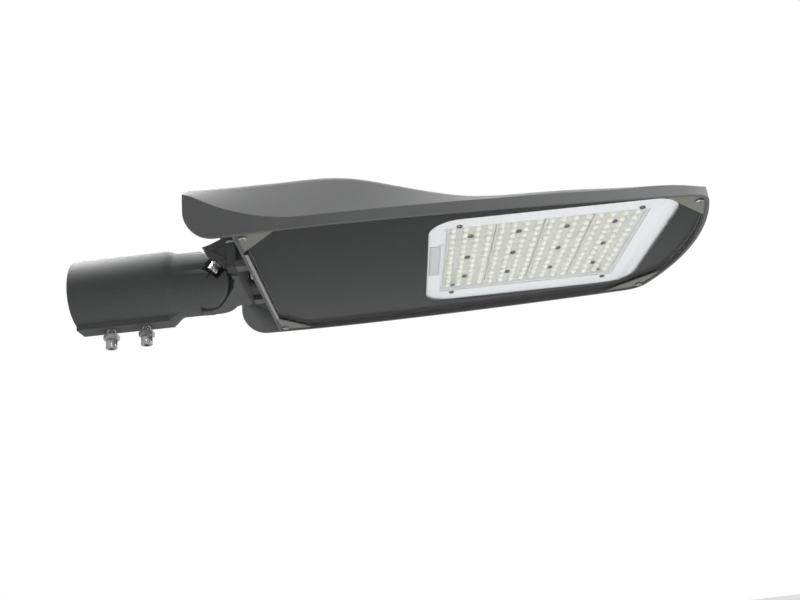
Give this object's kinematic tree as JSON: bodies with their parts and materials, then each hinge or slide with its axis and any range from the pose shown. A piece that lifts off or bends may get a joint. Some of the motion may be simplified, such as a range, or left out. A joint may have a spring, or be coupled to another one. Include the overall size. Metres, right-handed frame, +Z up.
{
  "type": "led street light head",
  "caption": "Slim die-cast street light head with LED lens plates behind a flat glass, on a tilting spigot sleeve with clamp screws for a pole or arm end.",
  "frame": {"origin": "Centre of the pole socket's mouth, on the sleeve's axis", "axes": "+X along the sleeve from the pole towards the light head's tip, +Y to the left of the head seen from the pole, +Z up; the glass faces down"},
  "size_m": [0.593, 0.262, 0.1149],
  "materials": {
    "cast_grey": "fine textured powder coat, dark grey",
    "canopy_grey": "fine textured powder coat, mid grey",
    "steel": "bright zinc-plated or stainless steel",
    "clip_grey": "painted sheet",
    "glass": "clear toughened glass",
    "black_print": "fired black print on the glass",
    "gasket_black": "silicone gasket",
    "rail_grey": "plain aluminium rail",
    "board_white": "white solder mask",
    "chip_yellow": "phosphor",
    "lens_clear": "clear lens plate over the white board",
    "frame_white": "white moulded sheet",
    "device_white": "white device case",
    "device_black": "black moulded plastic",
    "device_metal": "metal case"
  },
  "bodies": {
    "spigot": {"spigot_sleeve": "cast_grey", "clamp_screws": "steel", "lock_nuts": "steel"},
    "head": {"tilt_bracket": "cast_grey", "tilt_lock_screws": "steel", "spring_washers": "steel", "flat_washers": "steel", "bracket_bolts": "steel", "bracket_washers": "steel", "canopy": "canopy_grey", "glass_pane": "glass", "glass_print": "black_print", "glass_gasket": "gasket_black", "glass_rail": "rail_grey", "clip_near_rear": "clip_grey", "clip_far_rear": "clip_grey", "clip_near_tip": "clip_grey", "clip_far_tip": "clip_grey", "clip_screws": "steel", "led_board": "board_white", "led_chips": "chip_yellow", "lens_plate_1": "lens_clear", "lens_plate_2": "lens_clear", "lens_plate_3": "lens_clear", "lens_plate_4": "lens_clear", "lens_screws": "steel", "board_screws": "steel", "light_frame": "frame_white", "cable_cover": "frame_white", "driver": "device_metal", "driver_screws": "steel", "terminal_block": "device_white", "surge_protector": "device_white", "device_screws": "steel", "cable_gland": "device_black", "gland_nut": "device_black", "vent_plug": "device_black", "earth_screw": "steel"}
  },
  "joints": [
    {"name": "tilt", "type": "hinge", "parent": "spigot", "child": "head", "pos_m": [0.127, 0, -0.009], "axis": [0, -1, 0], "range_deg": [-5, 10]}
  ]
}
